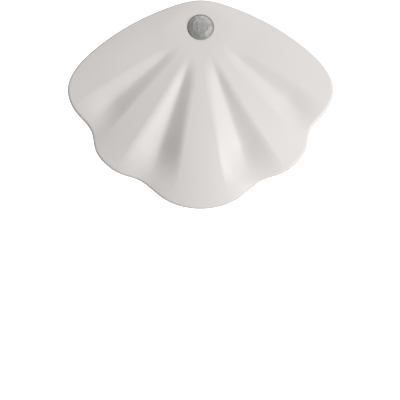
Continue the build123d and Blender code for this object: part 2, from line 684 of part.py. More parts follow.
def button(along):
    cap_size = (BUTTON_LONG, BUTTON_TALL)
    flange_size = (BUTTON_LONG + 2 * BUTTON_FLANGE_OVER, BUTTON_TALL + 2 * BUTTON_FLANGE_OVER)
    key = slot(Plane.XY, 0, 0, cap_size, -flange_in, BUTTON_PROUD)
    key = fillet(key.faces().sort_by(Axis.Z)[-1].edges(), BUTTON_ROUND)
    key += slot(Plane.XY, 0, 0, flange_size, -flange_back, -flange_in)
    half_line = SYMBOL_LINE / 2
    ring = Circle(SYMBOL_RING / 2 + half_line) - Circle(SYMBOL_RING / 2 - half_line)
    far = SYMBOL_RING * math.tan(math.radians(SYMBOL_GAP_ANGLE / 2))
    wedge = make_face(Polyline((0, 0), (far, -SYMBOL_RING), (-far, -SYMBOL_RING), close=True))
    bar = Pos(0, -SYMBOL_RING / 2) * Rectangle(SYMBOL_LINE, SYMBOL_RING / 2)
    symbol = Pos(0, 0, BUTTON_PROUD - SYMBOL_DEEP) * (ring - wedge + bar)
    key -= extrude(symbol, 2 * SYMBOL_DEEP, dir=(0, 0, 1))
    return RIGHT_WALL.location * (Pos(along, BUTTON_DOWN) * key)


def switch_body(along):
    sides = (along - SWITCH_WIDE / 2, along + SWITCH_WIDE / 2)
    depth = (-SWITCH_IN - SWITCH_DEEP, -SWITCH_IN)
    body = wall_box(RIGHT_WALL, sides, (BOARD_DOWN - SWITCH_TALL, BOARD_DOWN), depth)
    half_wide = STEM_WIDE / 2 + STEM_GAP
    half_tall = STEM_TALL / 2 + STEM_GAP
    well = (-SWITCH_IN - STEM_INTO - BUTTON_TRAVEL - STEM_GAP, -SWITCH_IN)
    body -= wall_box(
        RIGHT_WALL,
        (along - half_wide, along + half_wide),
        (BUTTON_DOWN - half_tall, BUTTON_DOWN + half_tall),
        well,
    )
    return body


def switch_stem(along):
    return wall_box(
        RIGHT_WALL,
        (along - STEM_WIDE / 2, along + STEM_WIDE / 2),
        (BUTTON_DOWN - STEM_TALL / 2, BUTTON_DOWN + STEM_TALL / 2),
        (-SWITCH_IN - STEM_INTO, -flange_back),
    )


# Main board and what stands on it
board_face = offset(tub_face, -BOARD_IN_LEFT, kind=Kind.INTERSECTION)
main_board = extrude(Pos(0, 0, board_foot) * board_face, BOARD_THICK, dir=(0, 0, 1))
board_span = (4 * TUB_CORNER_HALF, board_top - BOARD_FOOT_UP, DEEP)
main_board = main_board & block_on((0, (board_top + BOARD_FOOT_UP) / 2), board_span, -DEEP)
main_board -= wall_box(RIGHT_WALL, (-DEEP, DEEP), (0, DEEP), (-BOARD_IN_RIGHT, DEEP))
for at in board_posts:
    main_board -= post(at, BOARD_SCREW_DIA + 2 * HOLE_EASE, 0, -DEEP)
board_screws = []
for at in board_posts:
    head_dia, head_tall = BOARD_SCREW_HEAD
    screw = post(at, BOARD_SCREW_DIA, -BOARD_DOWN, -BOARD_DOWN - BOARD_SCREW_LONG)
    board_screws.append(screw + post(at, head_dia, -BOARD_DOWN + head_tall, -BOARD_DOWN))


def on_board(at, size):
    """Box on the board's face, placed from the middle of the board's foot."""
    return block_on((at[0], BOARD_FOOT_UP + at[1]), size, -BOARD_DOWN)


controller_chip = on_board(CONTROLLER_AT, CONTROLLER_SIZE)
charger_chip = on_board(CHARGER_AT, CHARGER_SIZE)
inductor = on_board(INDUCTOR_AT, INDUCTOR_SIZE)
daylight_at = (DAYLIGHT_FROM_SENSOR[0], SENSOR_UP + DAYLIGHT_FROM_SENSOR[1])
daylight_sensor = block_on(daylight_at, DAYLIGHT_SIZE, -BOARD_DOWN)
capacitor_at = (CAPACITOR_AT[0], BOARD_FOOT_UP + CAPACITOR_AT[1])
storage_capacitor = post(capacitor_at, CAPACITOR_DIA, -BOARD_DOWN + CAPACITOR_TALL, -BOARD_DOWN)
resistors = []
for i in range(RESISTOR_COUNT):
    across = (i - (RESISTOR_COUNT - 1) / 2) * RESISTOR_STEP
    resistors.append(on_board((across, RESISTOR_UP), RESISTOR_SIZE))
battery_plug = block_on((BATTERY_PLUG_ACROSS, plug_up), PLUG_SIZE, -BOARD_DOWN)
lamp_plug = block_on((LAMP_PLUG_ACROSS, plug_up), PLUG_SIZE, -BOARD_DOWN)

# Charging socket
socket_back = -SOCKET_SET_IN - SOCKET_DEEP
socket_inside = (SOCKET_WIDE - 2 * SOCKET_SKIN, SOCKET_TALL - 2 * SOCKET_SKIN)
socket_floor = socket_back + 2 * SOCKET_SKIN
socket_size = (SOCKET_WIDE, SOCKET_TALL)
charge_socket = slot(LEFT_WALL, -SOCKET_ALONG, socket_mid, socket_size, socket_back, -SOCKET_SET_IN)
charge_socket -= slot(LEFT_WALL, -SOCKET_ALONG, socket_mid, socket_inside, socket_floor, 0)
charge_socket_tongue = wall_box(
    LEFT_WALL,
    (-SOCKET_ALONG - TONGUE_WIDE / 2, -SOCKET_ALONG + TONGUE_WIDE / 2),
    (socket_mid - TONGUE_TALL / 2, socket_mid + TONGUE_TALL / 2),
    (socket_floor, socket_floor + TONGUE_LONG),
)

# Battery
along_x = Rot(0, 90, 0)
battery_cell = Pos(0, CELL_UP, -CELL_DOWN) * along_x * Cylinder(CELL_DIA / 2, CELL_LONG)
end_disc = Cylinder(END_BOARD_DIA / 2, END_BOARD_THICK, align=(Align.CENTER, Align.CENTER, Align.MIN))
battery_end_board = Pos(CELL_LONG / 2, CELL_UP, -CELL_DOWN) * along_x * end_disc
foam_top = -CELL_DOWN - CELL_DIA / 2 + FOAM_UP_CELL
battery_pad = Box(FOAM_LONG, FOAM_TALL, DEEP, align=(Align.CENTER, Align.CENTER, Align.MAX))
battery_pad = Pos(0, CELL_UP, foam_top) * battery_pad
battery_pad -= Pos(0, CELL_UP, -CELL_DOWN) * cell_room
foam_floor = into_case(off_wall(Rectangle(2 * DEEP, 2 * DEEP), recess_inside, DEEP))
battery_pad = battery_pad & foam_floor
plug_face = -PLUG_SIZE[1] / 2
plug_mid = -BOARD_DOWN + PLUG_SIZE[2] / 2
lead_out = CELL_LONG / 2 + END_BOARD_THICK
lead_turn = lead_out + LEAD_BEND + LEAD_DIA / 4
lead_pass = CELL_UP + CELL_DIA / 2 + LEAD_DIA / 2
battery_leads = []
for side in (-0.5, 0.5):
    level = side * LEAD_APART
    start_level = -CELL_DOWN + LEAD_APART + level
    battery_leads.append(lead([
        (lead_out, CELL_UP, start_level),
        (lead_turn, CELL_UP, start_level),
        (lead_turn, lead_pass, start_level),
        (BATTERY_PLUG_ACROSS, lead_pass, plug_mid + level),
        (BATTERY_PLUG_ACROSS, plug_up + plug_face, plug_mid + level),
    ]))

# Lamp
lens_back = COLLAR_PROUD - COLLAR_LIP - LAMP_FLANGE_TALL
lens_seat = COLLAR_PROUD - COLLAR_LIP
led_face = LED_BOARD_THICK - COLLAR_NECK_LONG
lamp_collar = disc(COLLAR_DIA, 0, COLLAR_PROUD)
lamp_collar = fillet(lamp_collar.edges().sort_by(Axis.Z)[-1], COLLAR_ROUND)
lamp_collar += disc(COLLAR_NECK, -COLLAR_NECK_LONG, 0)
lamp_collar -= disc(COLLAR_BORE, -COLLAR_NECK_LONG, lens_seat)
lamp_collar -= disc(COLLAR_MOUTH, 0, COLLAR_PROUD)
lens_inner = LAMP_LENS_DIA - 2 * LAMP_LENS_SKIN
dome_foot = lens_seat + LAMP_LENS_STAND
lamp_lens = disc(LAMP_FLANGE_DIA, lens_back, lens_seat) + disc(LAMP_LENS_DIA, lens_back, dome_foot)
lamp_lens += Pos(0, 0, dome_foot) * cap(LAMP_LENS_DIA, LAMP_LENS_RISE)
lamp_lens -= disc(lens_inner, lens_back, dome_foot)
lamp_lens -= Pos(0, 0, dome_foot) * cap(lens_inner, LAMP_LENS_RISE - LAMP_LENS_SKIN)
throat = REFLECTOR_THROAT / 2
mouth = lens_inner / 2
reflector_rim = COLLAR_BORE / 2 - GLUE_GAP
lamp_reflector = turned([
    (throat, led_face),
    (mouth, lens_back),
    (reflector_rim, lens_back),
    (reflector_rim, lens_back - REFLECTOR_SKIN),
    (mouth + REFLECTOR_SKIN, lens_back - REFLECTOR_SKIN),
    (throat + REFLECTOR_SKIN, led_face),
])
lamp_led = disc(LED_DIA, led_face, led_face + LED_TALL)
lamp_led_board = disc(LED_BOARD_DIA, -COLLAR_NECK_LONG, led_face)
heat_back = -COLLAR_NECK_LONG - HEAT_PLATE_THICK
lamp_heat_plate = disc(COLLAR_NECK, heat_back, -COLLAR_NECK_LONG)
notch = Box(HEAT_NOTCH, COLLAR_NECK, 2 * HEAT_PLATE_THICK, align=(Align.CENTER, Align.MIN, Align.CENTER))
notch_foot = LAMP_LEAD_UP - LEAD_DIA
lamp_heat_plate -= Pos(-LAMP_LEAD_OUT, notch_foot, -COLLAR_NECK_LONG - HEAT_PLATE_THICK / 2) * notch
lock_foot = -TUB_WALL - LOCK_RING_TALL
lamp_lock_ring = disc(LOCK_RING_DIA, lock_foot, -TUB_WALL)
lamp_lock_ring -= disc(COLLAR_NECK + 2 * GLUE_GAP, lock_foot, -TUB_WALL)
lamp_leads = []
over_cell = -CELL_DOWN + CELL_DIA / 2 + LEAD_DIA / 2 + LEAD_LIFT
for side in (-0.5, 0.5):
    shift = side * LEAD_APART
    solder = -COLLAR_NECK_LONG - LEAD_GAP
    start = LAMP.from_local_coords(Vector(shift - LAMP_LEAD_OUT, LAMP_LEAD_UP, solder))
    plug_x = LAMP_PLUG_ACROSS + shift
    lamp_leads.append(lead([
        start,
        start + Vector(0, 2 * HEAT_PLATE_THICK + LEAD_BEND, 0),
        (plug_x, CELL_UP - CELL_DIA / 2, over_cell),
        (plug_x, CELL_UP + LEAD_BEND, over_cell),
        (plug_x, plug_up + plug_face - LEAD_GAP, plug_mid),
    ]))

# Screws, magnets, wall plate and pad
housing_screws = []
for at in screw_posts:
    screw = post(at, SCREW_DIA, SCREW_INTO - POST_DOWN, head_seat)
    housing_screws.append(screw + post(at, SCREW_HEAD_DIA, head_seat, head_seat - SCREW_HEAD_TALL))
magnets = [
    off_wall(Pos(x, z) * Circle(MAGNET_DIA / 2), recess_inside, recess_inside + MAGNET_THICK)
    for x, z in magnet_spots
]
plate = RectangleRounded(PLATE_WIDE, PLATE_TALL, PLATE_ROUND)
pad = RectangleRounded(PLATE_WIDE - 2 * PAD_MARGIN, PLATE_TALL - 2 * PAD_MARGIN, PLATE_ROUND)
for x, z in screw_spots:
    plate -= Pos(x, z) * Circle(PLATE_HOLE / 2)
    pad -= Pos(x, z) * Circle(PAD_HOLE / 2)

os.makedirs("parts", exist_ok=True)
case_pieces = {
    "front_shell": front_shell,
    "rear_housing": rear_housing,
    "sensor_lens": LENS.location * sensor_lens,
    "sensor_lens_ring": LENS.location * sensor_lens_ring,
    "pyro_sensor": pyro_sensor,
    "pyro_window": pyro_window,
    "daylight_sensor": daylight_sensor,
    "power_button": button(POWER_ALONG),
    "mode_button": button(MODE_ALONG),
    "power_switch": switch_body(POWER_ALONG),
    "mode_switch": switch_body(MODE_ALONG),
    "power_switch_stem": switch_stem(POWER_ALONG),
    "mode_switch_stem": switch_stem(MODE_ALONG),
    "main_board": main_board,
    "controller_chip": controller_chip,
    "charger_chip": charger_chip,
    "inductor": inductor,
    "storage_capacitor": storage_capacitor,
    "resistors": Compound(resistors),
    "board_screws": Compound(board_screws),
    "charge_socket": charge_socket,
    "charge_socket_tongue": charge_socket_tongue,
    "battery_cell": battery_cell,
    "battery_end_board": battery_end_board,
    "battery_pad": battery_pad,
    "battery_leads": Compound(battery_leads),
    "battery_plug": battery_plug,
    "lamp_collar": LAMP.location * lamp_collar,
    "lamp_lens": LAMP.location * lamp_lens,
    "lamp_reflector": LAMP.location * lamp_reflector,
    "lamp_led": LAMP.location * lamp_led,
    "lamp_led_board": LAMP.location * lamp_led_board,
    "lamp_heat_plate": LAMP.location * lamp_heat_plate,
    "lamp_lock_ring": LAMP.location * lamp_lock_ring,
    "lamp_leads": Compound(lamp_leads),
    "lamp_plug": lamp_plug,
    "housing_screws": Compound(housing_screws),
}
for name, shape in case_pieces.items():
    save(placed(shape), name)
save(Compound(magnets), "magnets")
save(off_wall(plate, PAD_THICK, plate_front), "wall_plate")
save(off_wall(pad, 0, PAD_THICK), "adhesive_pad")
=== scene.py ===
"""Motion sensor wall light: finishes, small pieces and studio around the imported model.

Metres, in the row frame: X right, Z up, the wall at Y = 0 and the light on its -Y side.
"""
import json
import math

import bmesh
import bpy
from bpy.props import FloatProperty, FloatVectorProperty, IntProperty, PointerProperty
from bpy.types import Operator, Panel, PropertyGroup
from mathutils import Matrix, Vector


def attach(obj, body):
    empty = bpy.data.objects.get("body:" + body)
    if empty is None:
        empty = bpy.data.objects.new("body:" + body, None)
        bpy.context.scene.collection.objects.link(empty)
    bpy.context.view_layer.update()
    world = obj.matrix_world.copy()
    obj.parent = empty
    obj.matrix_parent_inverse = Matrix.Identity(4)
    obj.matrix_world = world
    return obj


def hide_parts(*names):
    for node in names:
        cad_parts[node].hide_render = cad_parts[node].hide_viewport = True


bl_info = {
    "name": "Motion Sensor Wall Light",
    "version": (1, 0, 0),
    "blender": (4, 5, 0),
    "location": "3D View > Sidebar > Wall Light",
    "description": "Finishes, lens facets, button symbols and studio of a scallop wall light",
    "category": "Object",
}

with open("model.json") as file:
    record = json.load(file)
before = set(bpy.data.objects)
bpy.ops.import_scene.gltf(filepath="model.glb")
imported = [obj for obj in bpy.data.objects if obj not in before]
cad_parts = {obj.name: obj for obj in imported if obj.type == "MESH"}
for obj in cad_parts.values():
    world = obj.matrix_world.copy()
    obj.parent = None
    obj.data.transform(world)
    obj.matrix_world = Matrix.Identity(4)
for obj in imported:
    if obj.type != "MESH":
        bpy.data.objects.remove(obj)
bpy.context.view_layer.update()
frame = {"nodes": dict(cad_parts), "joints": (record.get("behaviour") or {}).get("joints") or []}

# Directions of the case, read from the way a button is pressed
ACROSS = Vector((1, 0, 0))
PRESS = {joint["name"]: Vector(joint["axis"]) for joint in frame["joints"]}["power_button_press"]
RIGHT_WALL_OUT = -PRESS.normalized()
LEFT_WALL_OUT = Vector((-RIGHT_WALL_OUT.x, RIGHT_WALL_OUT.y, RIGHT_WALL_OUT.z))
CASE_UP = Vector((0, RIGHT_WALL_OUT.y, RIGHT_WALL_OUT.z)).normalized()
CASE_OUT = ACROSS.cross(CASE_UP)
SEAT_SLOPE = 0.117       # rise of the sensor's seat towards the viewer, per length down the case
LENS_OUT = (CASE_OUT + CASE_UP * SEAT_SLOPE).normalized()

# Facets of the sensor lens: share of its radius from and to, and how many go round
FACET_BANDS = ((0.0, 0.26, 1), (0.26, 0.6, 6), (0.6, 0.91, 12))
FACET_SPREAD = 0.1                  # how far the facets differ in shade
FACET_TURN, BAND_TURN = 5, 4        # radians of the shade's wave per facet, and per facet count of the band
LENS_PAINTED_LIGHT = Vector((0.06, 0.3))    # painted light: how much lighter the lens is painted from its middle to the right and up, as if lit from there
SKIRT_PAINTED_SHADE = 0.78                  # painted shade: darkening of the thick skirt outside the facets, standing in for the shadow in the gap round the lens

# Button symbol, as shares of its ring's diameter, and faces along the ring
BAR_FROM = 0.74
BAR_TO = 0.26
BAR_POINT = 0.4          # rise of the bar's pointed ends, as a share of half its width
RING_PARTS = 40

# Socket contacts, as shares of a contact's width
CONTACT_PITCH = 1.9
CONTACT_TIP = 0.7

# Slow drift of shade over moulded plastic: waves per metre and share of the colour
DRIFT_SCALE = 18.0
DRIFT_SHARE = 0.025

# How far the roughness varies: either way with the mould's grain, and down and up with the marks in metal
GRAIN_ROUGH = 0.05
MARKS_SMOOTH = 0.09
MARKS_ROUGH = 0.12


def colour(label, about, default):
    return FloatVectorProperty(
        name=label, description=about, subtype="COLOR", size=3, min=0.0, max=1.0, default=default
    )


def length(label, about, default):
    return FloatProperty(name=label, description=about, unit="LENGTH", precision=5, min=0.0, default=default)


def offset(label, about, default):
    return FloatProperty(name=label, description=about, unit="LENGTH", precision=5, default=default)


def position(label, about, default):
    return FloatVectorProperty(name=label, description=about, subtype="TRANSLATION", size=3, default=default)


def power(label, about, default):
    return FloatProperty(name=label, description=about, unit="POWER", min=0.0, default=default)


def whole(label, about, least, default):
    return IntProperty(name=label, description=about, min=least, default=default)


class WallLightFinishes(PropertyGroup):
    """Colours and grain of the light's surfaces."""

    shell: colour("Shell", "Satin plastic of the cover, tub and collar", (0.795, 0.765, 0.742))
    button: colour("Buttons", "Satin plastic of the two button caps", (0.82, 0.805, 0.79))
    lens: colour("Sensor lens", "Frosted plastic of the sensor lens", (0.501, 0.491, 0.475))
    lamp: colour("Lamp lens", "Milky plastic of the lamp lens", (0.52, 0.517, 0.507))
    symbol: colour("Symbols", "Pale grey print in the button symbols", (0.46, 0.453, 0.445))
    inner: colour("Inner plastic", "Rings, plugs and stems", (0.30, 0.30, 0.31))
    black: colour("Black plastic", "Switches and socket tongue", (0.035, 0.035, 0.037))
    board: colour("Circuit board", "Solder mask of the boards", (0.03, 0.16, 0.07))
    chip: colour("Chips", "Moulded packages on the board", (0.03, 0.03, 0.033))
    bright: colour("Bright metal", "Plated screws, socket, magnets and sensor can", (0.70, 0.70, 0.71))
    plate: colour("Wall plate", "Zinc plated sheet steel", (0.52, 0.53, 0.54))
    aluminium: colour("Aluminium", "Heat plate, lamp board and capacitor can", (0.76, 0.77, 0.78))
    mirror: colour("Reflector", "Metallised coat of the reflector", (0.90, 0.90, 0.90))
    cell: colour("Battery wrap", "Shrink film round the cell", (0.06, 0.22, 0.45))
    phosphor: colour("Phosphor", "Gel over the light emitter", (0.90, 0.66, 0.14))
    lead: colour("Leads", "Insulation of the leads", (0.52, 0.03, 0.03))
    foam: colour("Foam", "Battery pad and wall tape", (0.10, 0.10, 0.105))
    gold: colour("Contacts", "Plated contacts of the charging socket", (0.83, 0.62, 0.26))
    grain: length("Moulding grain", "Spacing of the fine texture left by the mould", 0.00035)
    grain_depth: length("Grain depth", "Depth of the fine texture", 0.000012)


class WallLightSizes(PropertyGroup):
    """Sizes of the small pieces."""

    lens_diameter: length("Lens diameter", "Sensor dome where it leaves the seat", 0.0138)
    lens_rise: length("Lens rise", "Height of the sensor dome", 0.0029)
    lens_skin: length("Lens skin", "Thickness of the sensor dome", 0.0009)
    lens_neck: length("Lens neck", "Straight part below the dome", 0.0027)
    lens_flange: length("Lens flange", "Thickness of the lens flange", 0.0012)
    flange_over: length("Flange over", "Flange beyond the dome", 0.0014)
    facet_ridge: length("Facet ridge", "Half width of the ridges between facets", 0.00028)
    facet_groove: length("Facet groove", "Spacing of the fine rings pressed into each facet", 0.00045)
    lens_rings: whole("Lens rings", "Rings of faces in the dome", 12, 60)
    lens_steps: whole("Lens steps", "Faces round the dome", 24, 144)
    symbol_ring: length("Symbol ring", "Diameter of the ring in a button symbol", 0.0034)
    symbol_line: length("Symbol line", "Width of a symbol's strokes", 0.00044)
    symbol_sunk: length("Symbol sunk", "Print below the button's face", 0.00006)
    symbol_thick: length("Symbol thick", "Thickness of the print", 0.00017)
    symbol_gap: FloatProperty(
        name="Symbol gap", description="Opening at the top of the ring", subtype="ANGLE",
        default=math.radians(74),
    )
    contacts: whole("Contacts", "Contacts on each side of the tongue", 1, 12)
    contact_width: length("Contact width", "Width of one contact", 0.00026)
    contact_length: length("Contact length", "Length of a contact along the tongue", 0.0036)
    contact_proud: length("Contact proud", "Contact above the tongue", 0.00004)


class WallLightStudio(PropertyGroup):
    """Camera, lights, floor and backdrop."""

    view_distance: length("View distance", "Camera to the wall", 2.0)
    view_plane: length("View plane", "Wall to the cover's rim, where the view's width is measured", 0.027)
    view_width: length("View width", "Width of the picture at the cover's rim", 0.2117)
    view_across: offset("View across", "Camera right of the light", -0.0003)
    view_height: offset("View height", "Camera above the light's middle", -0.046)
    key_power: power("Key light", "Power of the key light", 29.8)
    key_at: position("Key at", "Key light, to the right and a little below", (1.42, -1.32, -0.5))
    top_power: power("Top light", "Power of the light above", 8.9)
    top_at: position("Top at", "Light above", (0.0, -0.4, 1.8))
    back_power: power("Back light", "Power of the light behind", 9.0)
    back_at: position("Back at", "Light behind the wall plane", (-0.7, 1.7, 0.8))
    light_size: length("Light size", "Diameter of each light", 1.0)
    ambient: FloatProperty(name="Ambient", description="Strength of the light from all round", default=0.339)
    floor_drop: length("Floor drop", "Floor below the light", 2.0)
    floor_size: length("Floor size", "Side of the floor", 6.0)
    backdrop_behind: length("Backdrop behind", "Backdrop behind the wall plane", 2.6)
    backdrop_size: length("Backdrop size", "Side of the backdrop", 1.6)
    backdrop_glow: FloatProperty(
        name="Backdrop glow", description="Light that the backdrop gives off", default=1.2
    )
    floor_colour: colour("Floor colour", "Pale matt floor", (0.8, 0.8, 0.8))
    floor_grain: length("Floor grain", "Spacing of the floor's fine texture", 0.004)
    floor_grain_depth: length("Floor grain depth", "Depth of the floor's fine texture", 0.0002)


def finishes():
    return bpy.context.scene.wall_light_finishes


def sizes():
    return bpy.context.scene.wall_light_sizes


def studio():
    return bpy.context.scene.wall_light_studio


# Placing


def axes(across, out):
    """Matrix at the origin with x across and z out."""
    z = out.normalized()
    x = (across - z * across.dot(z)).normalized()
    y = z.cross(x)
    return Matrix((x, y, z)).transposed().to_4x4()


def box_of(node, upright):
    """Low and high corner of a node in a turned frame."""
    points = [upright.inverted() @ v.co for v in frame["nodes"][node].data.vertices]
    low = Vector(min(p[i] for p in points) for i in range(3))
    high = Vector(max(p[i] for p in points) for i in range(3))
    return low, high


def face_of(node, across, out):
    """Matrix at the middle of a node's outer face, with x across it and z out of it."""
    upright = axes(across, out)
    low, high = box_of(node, upright)
    return upright @ Matrix.Translation(((low.x + high.x) / 2, (low.y + high.y) / 2, high.z))


def piece(name, bm, place, body, slot, finish, *nodes):
    """New piece from a mesh drawn at the origin, riding on a body and standing for CAD nodes."""
    bmesh.ops.recalc_face_normals(bm, faces=bm.faces)
    mesh = bpy.data.meshes.new(name)
    bm.to_mesh(mesh)
    bm.free()
    mesh.transform(place)
    mesh.materials.append(finish)
    obj = bpy.data.objects.new(name, mesh)
    bpy.context.scene.collection.objects.link(obj)
    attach(obj, body)
    if nodes:
        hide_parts(*nodes)


def dress(finish, *nodes):
    """Gives CAD nodes a finish."""
    for node in nodes:
        materials = frame["nodes"][node].data.materials
        materials.clear()
        materials.append(finish)


# Finishes


def add(tree, kind, **sockets):
    """Node with its sockets set to numbers or linked to other nodes' outputs."""
    node = tree.nodes.new(kind)
    for name, value in sockets.items():
        socket = node.inputs[name.replace("_", " ").title()]
        if isinstance(value, bpy.types.NodeSocket):
            tree.links.new(value, socket)
        else:
            socket.default_value = value
    return node


def begin(name, **constants):
    """New material with the constant sockets of its shader set."""
    material = bpy.data.materials.new(name)
    material.use_nodes = True
    tree = material.node_tree
    shader = tree.nodes["Principled BSDF"]
    for socket, value in constants.items():
        shader.inputs[socket.replace("_", " ").title().replace("Ior", "IOR")].default_value = value
    place = tree.nodes.new("ShaderNodeTexCoord").outputs["Object"]
    return material, tree, shader, place


def noise(tree, place, scale, detail):
    """Soft random pattern: waves per metre and layers of finer waves."""
    return add(tree, "ShaderNodeTexNoise", vector=place, scale=scale, detail=detail).outputs["Fac"]


def painted(tree, name):
    """Number that the mesh keeps at its points under a name."""
    node = tree.nodes.new("ShaderNodeAttribute")
    node.attribute_name = name
    return node.outputs["Fac"]


def tinted(base, share):
    """Opaque colour made darker or lighter by a share."""
    return (*(min(1.0, channel * share) for channel in base), 1.0)


def shades(tree, factor, base, dark, light):
    """Colour between a dark and a light share of a base, by a factor."""
    ramp = tree.nodes.new("ShaderNodeValToRGB")
    ramp.color_ramp.elements[0].color = tinted(base, dark)
    ramp.color_ramp.elements[1].color = tinted(base, light)
    tree.links.new(factor, ramp.inputs["Fac"])
    return ramp.outputs["Color"]


def between(tree, factor, low, high):
    """Number between two ends, by a factor."""
    scaled = add(tree, "ShaderNodeMapRange", value=factor)
    scaled.inputs["To Min"].default_value = low
    scaled.inputs["To Max"].default_value = high
    return scaled.outputs["Result"]


def surface(tree, shader, tone, roughness, height, depth):
    """Gives the shader its colour, its roughness and a fine relief with a depth in metres."""
    bump = add(tree, "ShaderNodeBump", strength=1.0, distance=depth, height=height)
    tree.links.new(tone, shader.inputs["Base Color"])
    tree.links.new(roughness, shader.inputs["Roughness"])
    tree.links.new(bump.outputs["Normal"], shader.inputs["Normal"])


def moulded(name, base, grain, depth, rough, **constants):
    """Moulded plastic: fine mould grain, slow drift of shade and gloss."""
    material, tree, shader, place = begin(name, **constants)
    drifting = noise(tree, place, scale=DRIFT_SCALE, detail=3.0)
    fine = noise(tree, place, scale=1 / grain, detail=2.0)
    tone = shades(tree, drifting, base, dark=1 - DRIFT_SHARE, light=1 + DRIFT_SHARE)
    roughness = between(tree, fine, low=rough - GRAIN_ROUGH, high=rough + GRAIN_ROUGH)
    surface(tree, shader, tone, roughness, fine, depth)
    return material


def plated(name, base, rough, squeeze=(1.0, 1.0, 1.0), scale=900.0, depth=0.000004):
    """Metal with tumbled marks, or drawn ones that are squeezed together across their run."""
    material, tree, shader, place = begin(name, metallic=1.0)
    drawn = add(tree, "ShaderNodeMapping", vector=place, scale=squeeze).outputs["Vector"]
    marks = noise(tree, drawn, scale=scale, detail=4.0)
    cloud = noise(tree, place, scale=140.0, detail=3.0)
    tone = shades(tree, cloud, base, dark=0.86, light=1.08)
    roughness = between(tree, marks, low=rough - MARKS_SMOOTH, high=rough + MARKS_ROUGH)
    surface(tree, shader, tone, roughness, marks, depth)
    return material


def frosted_lens(name, base):
    """Frosted sensor plastic: grey, slightly clear, with the rings pressed into each facet."""
    material, tree, shader, place = begin(
        name, subsurface_weight=0.12, subsurface_scale=0.002, transmission_weight=0.15, ior=1.52,
        coat_weight=0.12, coat_roughness=0.25,
    )
    cloud = noise(tree, place, scale=420.0, detail=3.0)
    mottled = shades(tree, cloud, base, dark=0.7, light=1.32)
    toned = tree.nodes.new("ShaderNodeVectorMath")
    toned.operation = "SCALE"
    tree.links.new(mottled, toned.inputs["Vector"])
    # each facet's tone, with the painted light and painted shade kept on the lens mesh, scales the colour
    tree.links.new(painted(tree, "facet_tone_and_painted_light"), toned.inputs["Scale"])
    rings = tree.nodes.new("ShaderNodeMath")
    rings.operation = "SINE"
    tree.links.new(painted(tree, "facet_ring"), rings.inputs[0])
    roughness = between(tree, cloud, low=0.3, high=0.46)
    surface(tree, shader, toned.outputs["Vector"], roughness, rings.outputs["Value"], depth=0.00002)
    return material


def milky_lens(name, base):
    """Milky lamp lens: smooth, lets the light through and scatters it."""
    material, tree, shader, place = begin(
        name, subsurface_weight=0.35, subsurface_scale=0.003, transmission_weight=0.35, ior=1.49,
        coat_weight=0.3, coat_roughness=0.1,
    )
    cloud = noise(tree, place, scale=160.0, detail=2.0)
    fine = noise(tree, place, scale=3600.0, detail=2.0)
    tone = shades(tree, cloud, base, dark=0.96, light=1.04)
    roughness = between(tree, fine, low=0.22, high=0.34)
    surface(tree, shader, tone, roughness, fine, depth=0.000006)
    return material


def solder_mask(name, base):
    """Circuit board: mask with straight copper runs that show lighter through it."""
    material, tree, shader, place = begin(name, coat_weight=0.35, coat_roughness=0.2)
    runs = add(tree, "ShaderNodeTexBrick", vector=place, scale=260.0, mortar_size=0.09)
    runs.inputs["Color1"].default_value = tinted(base, 0.8)
    runs.inputs["Color2"].default_value = tinted(base, 1.1)
    runs.inputs["Mortar"].default_value = tinted(base, 2.1)
    fine = noise(tree, place, scale=2600.0, detail=2.0)
    roughness = between(tree, fine, low=0.3, high=0.42)
    surface(tree, shader, runs.outputs["Color"], roughness, runs.outputs["Fac"], depth=0.00002)
    return material


def foamed(name, base, cell):
    """Closed-cell foam: small round cells, dull."""
    material, tree, shader, place = begin(name, sheen_weight=0.2)
    cells = add(tree, "ShaderNodeTexVoronoi", vector=place, scale=1 / cell).outputs["Distance"]
    tone = shades(tree, cells, base, dark=0.7, light=1.5)
    roughness = between(tree, cells, low=0.8, high=0.95)
    surface(tree, shader, tone, roughness, cells, depth=0.00008)
    return material


def film_wrap(name, base):
    """Shrink film: glossy, with slight ripples drawn round the cell."""
    material, tree, shader, place = begin(name, coat_weight=0.4, coat_roughness=0.15)
    drawn = add(tree, "ShaderNodeMapping", vector=place, scale=(6.0, 1.0, 1.0)).outputs["Vector"]
    ripple = noise(tree, drawn, scale=60.0, detail=2.0)
    tone = shades(tree, ripple, base, dark=0.85, light=1.15)
    roughness = between(tree, ripple, low=0.26, high=0.4)
    surface(tree, shader, tone, roughness, ripple, depth=0.00005)
    return material


# Pieces


